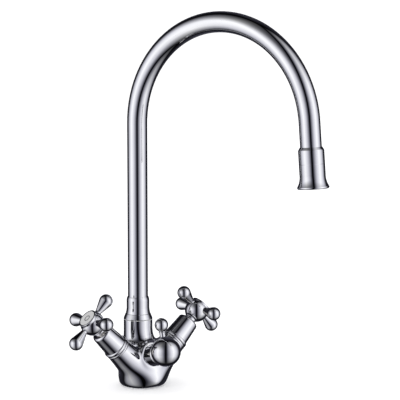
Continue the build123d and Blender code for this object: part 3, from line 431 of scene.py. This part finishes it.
def skin(field, low, high, cell):
    """Closed skin where a field is nought: corners, faces of four, and a normal for each of their
    corners. A grid cell that the skin crosses gets one corner, where the tangent planes at its
    crossed edges meet best, and a crossed edge gets one face. A normal is the field's own slope,
    or across a sharp edge the slope a little way towards the face's middle. The grid is shifted by
    GRID_SHIFT of a cell, so that no flat of round size lies in its planes."""
    low = np.array(low) - GRID_SHIFT * cell
    counts = np.ceil((np.array(high) - low) / cell).astype(int)
    grid = np.stack(np.meshgrid(*[low[a] + cell * np.arange(counts[a] + 1) for a in range(3)],
                                indexing="ij"), -1)
    value = field(grid)
    spots, rings = [], []
    for axis in range(3):
        before, after = [slice(None)] * 3, [slice(None)] * 3
        before[axis], after[axis] = slice(None, -1), slice(1, None)
        first, second = value[tuple(before)], value[tuple(after)]
        at = np.argwhere((first < 0) != (second < 0))
        start, end = first[tuple(at.T)], second[tuple(at.T)]
        spots.append(low + cell * at + cell * (start / (start - end))[:, None] * np.eye(3)[axis])
        back, down = np.eye(3, dtype=int)[(axis + 1) % 3], np.eye(3, dtype=int)[(axis + 2) % 3]
        ring = np.stack([at - back - down, at - down, at, at - back], 1)
        ring = np.where((start < 0)[:, None, None], ring, ring[:, ::-1])
        rings.append(np.ravel_multi_index(tuple(np.moveaxis(ring, -1, 0)), counts))
    spot, ring = np.concatenate(spots), np.concatenate(rings)
    owner, faces = np.unique(ring, return_inverse=True)
    faces = faces.reshape(ring.shape)
    holders, total = faces.ravel(), len(owner)

    def gather(amounts):
        """Sum, for each cell that has a corner, of an amount per crossed edge."""
        return np.bincount(holders, amounts, total)

    share = gather(np.ones(len(holders)))
    four = np.repeat(spot, 4, axis=0)
    middle = np.stack([gather(four[:, a]) for a in range(3)], -1) / share[:, None]
    facing = np.repeat(unit(climb(field, spot, cell / SLOPE_PARTS)), 4, axis=0)
    away = (facing * (four - middle[holders])).sum(-1)
    pull = np.stack([gather(facing[:, a] * away) for a in range(3)], -1)
    planes = np.stack([np.stack([gather(facing[:, a] * facing[:, b]) for b in range(3)], -1)
                       for a in range(3)], -2)
    shift = np.linalg.solve(planes + MIDDLE_HOLD * np.eye(3), pull[..., None])[..., 0]
    corners = middle + np.clip(shift, -cell, cell)
    limit = cell / SETTLE_PARTS
    for _ in range(SETTLE_STEPS):
        slope = climb(field, corners, cell / SLOPE_PARTS)
        steep = np.maximum((slope ** 2).sum(-1), STEEP_LEAST)
        corners = corners - slope * np.clip(field(corners) / steep, -limit, limit)[:, None]
    own = unit(climb(field, corners, cell / SLOPE_PARTS))[faces]
    inward = corners[faces].mean(1, keepdims=True) - corners[faces]
    beside = unit(climb(field, corners[faces] + INTO_FACE * inward, cell / SLOPE_PARTS))
    same = (beside * own).sum(-1, keepdims=True) > math.cos(SHARP_EDGE)
    return corners, faces, np.where(same, own, beside)


def moved(shape, origin, axes):
    """A skin set down at an origin, with its own X, Y and Z along the rows of axes."""
    corners, faces, shades = shape
    return corners @ axes + origin, faces, shades @ axes


def skinned(name, paint, body, slot, replaced, *shapes):
    """One object of several skins, dressed, riding a body in place of a CAD node. Reflections
    leave it out, so that the chrome round it stays bright."""
    first = np.cumsum([0] + [len(shape[0]) for shape in shapes])
    thing = put(name, np.concatenate([shape[0] for shape in shapes]),
                np.concatenate([shape[1] + start for shape, start in zip(shapes, first)]))
    shades = np.concatenate([shape[2].reshape(-1, 3) for shape in shapes])
    thing.data.normals_split_custom_set(shades.tolist())
    thing.data.materials.append(paint)
    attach(thing, body)
    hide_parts(replaced)
    thing.visible_glossy = False


chrome = finish("chrome plate", colour=(0.93, 0.935, 0.95), roughness=0.035, metallic=1.0, grain=45.0)
box_low, box_high = (np.array(corner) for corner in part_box("body_casting"))
margin = MARGIN_CELLS * SKIN_CELL
skinned("casting_skin", chrome, "body", "chrome", "body_casting",
        skin(casting_field, box_low - margin, box_high + margin, SKIN_CELL))

# ------------------------------------------------------------------ deck seal
# Nitrile ring in the groove round the foot's underside, where it seals the tap against the deck.
rubber = finish("nitrile rubber", colour=(0.045, 0.045, 0.05), roughness=0.62, spread=0.15,
                grain=260.0, relief=0.00002)
dress(rubber, "deck_seal")

# ------------------------------------------------------------------ arm valves
# Half-inch cartridges of nickel-plated brass with lapped ceramic discs, screwed into the arms,
# and the chrome trim ring and tapered bonnet that cover each.
nickel = finish("nickel plate", colour=(0.74, 0.72, 0.68), roughness=0.10, metallic=1.0, grain=90.0)
ceramic = finish("lapped ceramic", colour=(0.90, 0.89, 0.85), roughness=0.18, spread=0.2, grain=120.0)
for arm in arm_axes:
    dress(chrome, f"{arm}_trim_ring", f"{arm}_bonnet")
    dress(nickel, f"{arm}_cartridge", f"{arm}_spindle")
    dress(ceramic, f"{arm}_fixed_disc", f"{arm}_moving_disc")
    dress(rubber, f"{arm}_seat_seal", f"{arm}_spindle_ring")

# ------------------------------------------------------------------ cross handles
# Turned and plated ball hub with four screwed-in drop-shaped arms, held by a stainless screw.
# A pale moulded index disc with a plain ring inlaid in its middle is snapped in over the screw.
HUB_R, HUB_BACK, HUB_RIM = 0.0131, -0.0022, 0.0046
WAIST_R, WAIST_EDGE, HUB_REAR, NECK_FILLET = 0.0054, 0.0003, -0.0162, 0.0012
BEAD_R, BEAD_WIDTH, BEAD_EDGE = 0.0066, 0.0028, 0.0009
BEZEL_R, BEZEL_FRONT, BEZEL_ROUND = 0.0109, 0.0072, 0.0006
RECESS_R, RECESS_FLOOR, RECESS_FRONT, RECESS_EDGE = 0.0094, 0.0055, 0.010, 0.0001
KNOB_R, KNOB_REACH = 0.0074, 0.0287                 # ball at an arm's end
PIN_R, PIN_SEAT, PIN_SUNK = 0.0024, 0.0109, 0.002   # an arm at its neck, and its seat on the hub
PIN_FLARE_R, PIN_FLARE, PIN_FLARE_EDGE, PIN_FILLET = 0.0033, 0.0010, 0.0004, 0.0030
ARMS_EACH, HANDLE_TURN = 4, math.radians(4.5)
INDEX_SUNK = 0.0002       # of the disc's face behind the bezel's front
MARK_R, MARK_WIDTH, MARK_PROUD, MARK_COLUMNS = 0.0036, 0.0011, 0.00006, 72
FINE_CELL = 0.0005
HUB_BOX = (-0.0140, -0.0140, -0.0180), (0.0140, 0.0140, 0.0090)
PIN_BOX = (-0.009, -0.009, 0.0080), (0.009, 0.009, 0.0380)

steel = finish("stainless steel", colour=(0.60, 0.60, 0.62), roughness=0.28, metallic=1.0,
               grain=220.0, relief=0.000005)
index_white = finish("index moulding", colour=(0.60, 0.60, 0.60), roughness=0.22, spread=0.2,
                     grain=90.0, **{"Coat Weight": 0.4, "Coat Roughness": 0.06})
mark_grey = finish("mark enamel", colour=(0.13, 0.13, 0.14), roughness=0.3, spread=0.2, grain=90.0)


def plug_field(points, radius, low, high, edge):
    """A round plug about Z between two heights, its edges rounded: a rounded box in radius and
    height."""
    out = np.hypot(points[..., 0], points[..., 1]) - radius + edge
    beside = np.abs(points[..., 2] - (low + high) / 2) - (high - low) / 2 + edge
    inside = np.minimum(np.maximum(out, beside), 0)
    return np.hypot(np.maximum(out, 0), np.maximum(beside, 0)) + inside - edge


def ball_field(points, middle, radius):
    """A ball on the Z axis."""
    return np.linalg.norm(points - np.array((0, 0, middle)), axis=-1) - radius


def hub_field(points):
    """Ball cut flat at its rim, beaded neck behind, bezel in front, less the index recess."""
    ball = np.maximum(ball_field(points, HUB_BACK, HUB_R), points[..., 2] - HUB_RIM)
    neck = np.minimum(plug_field(points, WAIST_R, HUB_REAR, 0, WAIST_EDGE),
                      plug_field(points, BEAD_R, HUB_REAR, HUB_REAR + BEAD_WIDTH, BEAD_EDGE))
    bezel = plug_field(points, BEZEL_R, 0, BEZEL_FRONT, BEZEL_ROUND)
    hub = np.minimum(melt(ball, neck, NECK_FILLET), bezel)
    return np.maximum(hub, -plug_field(points, RECESS_R, RECESS_FLOOR, RECESS_FRONT, RECESS_EDGE))


def pin_field(points):
    """Drop-shaped arm along Z: a cone from neck to ball, tangent to both, which is the distance
    to the nearer end's ball or to the slope between, melted into the flare that seats it."""
    run, reach = points[..., 2] - PIN_SEAT, np.hypot(points[..., 0], points[..., 1])
    length = KNOB_REACH - PIN_SEAT
    slope = (PIN_R - KNOB_R) / length
    level = math.sqrt(1 - slope * slope)
    side = run * level - reach * slope
    drop = np.where(side < 0, np.hypot(reach, run) - PIN_R, reach * level + run * slope - PIN_R)
    drop = np.where(side > level * length, np.hypot(reach, run - length) - KNOB_R, drop)
    flare = plug_field(points, PIN_FLARE_R, PIN_SEAT - PIN_SUNK, PIN_SEAT + PIN_FLARE, PIN_FLARE_EDGE)
    return melt(drop, flare, PIN_FILLET)


def ring_mark(middle, radius, width, proud, columns):
    """A flat washer about Z: four rims, at radius and at radius less width, each of them sunk and
    proud of the middle."""
    turn = np.linspace(0, 2 * np.pi, columns, endpoint=False)
    rims = ((radius, -proud), (radius, proud), (radius - width, proud), (radius - width, -proud))
    points = np.concatenate([np.stack([r * np.cos(turn), r * np.sin(turn), 0 * turn + middle + z], -1)
                             for r, z in rims])
    here = np.arange(columns)
    there = (here + 1) % columns
    faces = []
    for a, b in ((0, 1), (1, 2), (2, 3), (3, 0)):
        near, far = a * columns, b * columns
        faces.append(np.stack([near + here, near + there, far + there, far + here], -1))
    return points, np.concatenate(faces)


hub = skin(hub_field, *HUB_BOX, FINE_CELL)
pin = skin(pin_field, *PIN_BOX, FINE_CELL)
mark_points, mark_faces = ring_mark(BEZEL_FRONT - INDEX_SUNK, MARK_R, MARK_WIDTH, MARK_PROUD,
                                    MARK_COLUMNS)
for arm, (_, way) in arm_axes.items():
    pivot = np.array(joints[arm + "_turn"]["pos_m"])
    ahead = np.array((0.0, -1.0, 0.0))
    aside = np.cross(way, ahead)
    axes = np.array((ahead, aside, way))
    skinned(f"{arm}_hub_skin", chrome, f"{arm}_handle", "chrome", f"{arm}_handle_hub",
            moved(hub, pivot, axes))
    arms = []
    for number in range(ARMS_EACH):
        turn = math.radians(360 / ARMS_EACH * number) + HANDLE_TURN
        out = math.cos(turn) * ahead + math.sin(turn) * aside
        arms.append(moved(pin, pivot, np.array((way, np.cross(out, way), out))))
    skinned(f"{arm}_arm_skins", chrome, f"{arm}_handle", "chrome", f"{arm}_handle_arms", *arms)
    dress(steel, f"{arm}_handle_screw")
    dress(index_white, f"{arm}_index_disc")
    mark = put(f"{arm}_index_mark", mark_points @ axes + pivot, mark_faces, smooth=False)
    mark.data.materials.append(mark_grey)
    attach(mark, f"{arm}_handle")

# ------------------------------------------------------------------ front valve
# The small valve for filtered water: plated sleeve, ball-shaped knob held by a grub screw
# underneath, and a short pin lever with a bead under its ball.
DOME_R, DOME_AT, DOME_REAR, DOME_ROUND = 0.0161, 0.0252, 0.0140, 0.0040
SOCKET_R, SOCKET_MOUTH, SOCKET_END = 0.0031, 0.010, 0.0325
LEVER_AT, LEVER_LEAN, LEVER_SEAT, LEVER_REACH = 0.0221, math.radians(8.0), 0.0132, 0.0293
LEVER_BALL_R, LEVER_R, LEVER_EDGE = 0.0074, 0.0032, 0.0001
LEVER_FLARE_R, LEVER_FLARE, LEVER_GAP, LEVER_SEAT_RUN = 0.0042, 0.0022, 0.00002, 0.010
LEVER_BEAD_R, LEVER_BEAD, BEAD_INTO_BALL = 0.0040, 0.0014, 0.0004
LEVER_ROUND, LEVER_FILLET, BALL_FILLET = 0.0006, 0.0030, 0.0008
GRUB_AT, GRUB_R, GRUB_RUN = 0.0251, 0.00202, 0.020
DOME_BOX = (-0.0180, -0.0180, 0.0115), (0.0180, 0.0180, 0.0430)
LEVER_BOX = (-0.009, -0.009, 0.0115), (0.009, 0.009, 0.0385)

lever_way = np.array((0, math.cos(LEVER_LEAN), math.sin(LEVER_LEAN)))


def dome_field(points):
    """A ball on Z whose rear is cut flat, with a round bend at the cut."""
    return -melt(-ball_field(points, DOME_AT, DOME_R), points[..., 2] - DOME_REAR, DOME_ROUND)


def knob_field(points):
    """The dome less the spindle's socket, the lever's seat and the grub screw's hole."""
    seat_floor = np.array((0, 0, LEVER_AT)) + lever_way * LEVER_SEAT
    seat_mouth = seat_floor + lever_way * LEVER_SEAT_RUN
    socket = drill_field(points, (0, 0, SOCKET_MOUTH), (0, 0, SOCKET_END), SOCKET_R)
    seat = drill_field(points, seat_floor, seat_mouth, LEVER_FLARE_R + LEVER_GAP)
    grub = drill_field(points, (0, 0, GRUB_AT), (0, -GRUB_RUN, GRUB_AT), GRUB_R)
    return np.maximum(dome_field(points), -np.minimum(np.minimum(socket, seat), grub))


def lever_field(points):
    """Straight neck from its flared seat to its ball, with the bead between."""
    neck = plug_field(points, LEVER_R, LEVER_SEAT, LEVER_REACH, LEVER_EDGE)
    flare = plug_field(points, LEVER_FLARE_R, LEVER_SEAT, LEVER_SEAT + LEVER_FLARE, LEVER_ROUND)
    bead_at = LEVER_REACH - LEVER_BALL_R - LEVER_BEAD / 2 + BEAD_INTO_BALL
    bead_ends = bead_at - LEVER_BEAD / 2, bead_at + LEVER_BEAD / 2
    bead = plug_field(points, LEVER_BEAD_R, *bead_ends, LEVER_ROUND)
    pin = melt(neck, flare, LEVER_FILLET)
    return melt(np.minimum(pin, bead), ball_field(points, LEVER_REACH, LEVER_BALL_R), BALL_FILLET)


right = np.array((1.0, 0.0, 0.0))
boss_axes = np.array((right, np.cross(boss_way, right), boss_way))
knob = skin(knob_field, *DOME_BOX, FINE_CELL)
skinned("front_knob_skin", chrome, "front_handle", "chrome", "front_knob",
        moved(knob, boss_face, boss_axes))
lever = skin(lever_field, *LEVER_BOX, FINE_CELL)
lever_axes = np.array((right, np.cross(lever_way, right), lever_way))
lever = moved(lever, np.array((0, 0, LEVER_AT)), lever_axes)
skinned("front_lever_skin", chrome, "front_handle", "chrome", "front_lever",
        moved(lever, boss_face, boss_axes))
dress(chrome, "front_bonnet")
dress(nickel, "front_cartridge", "front_spindle")
dress(ceramic, "front_fixed_disc", "front_moving_disc")
dress(rubber, "front_seat_seal", "front_spindle_ring")
dress(steel, "front_grub_screw")

# ------------------------------------------------------------------ swan neck
# Bent and plated brass tube in its turned collar, with the bush, rings and keeper screw that let
# it swivel, and the inner polythene tube that keeps the filtered water apart.
acetal = finish("acetal", colour=(0.86, 0.86, 0.84), roughness=0.4, spread=0.15, grain=150.0)
polythene = finish("polythene", colour=(0.74, 0.82, 0.90), roughness=0.45, spread=0.15, grain=90.0)
dress(chrome, "spout_collar", "spout_tube")
dress(acetal, "spout_bush")
dress(rubber, "spout_o_rings", "filter_tube_seal")
dress(steel, "spout_keeper_screw")
dress(polythene, "filter_tube")

# ------------------------------------------------------------------ nozzle
# Turned and plated socket and bell, screwed together over a seal, with the moulded outlet insert
# round the brass jet of the filtered water.
outlet_grey = finish("outlet moulding", colour=(0.42, 0.43, 0.45), roughness=0.42, spread=0.15,
                     grain=200.0)
brass = finish("turned brass", colour=(0.80, 0.62, 0.30), roughness=0.24, metallic=1.0,
               grain=180.0, relief=0.000006)
dress(chrome, "nozzle_socket", "aerator_bell")
dress(rubber, "nozzle_seal")
dress(outlet_grey, "aerator_insert")
dress(brass, "filter_jet")
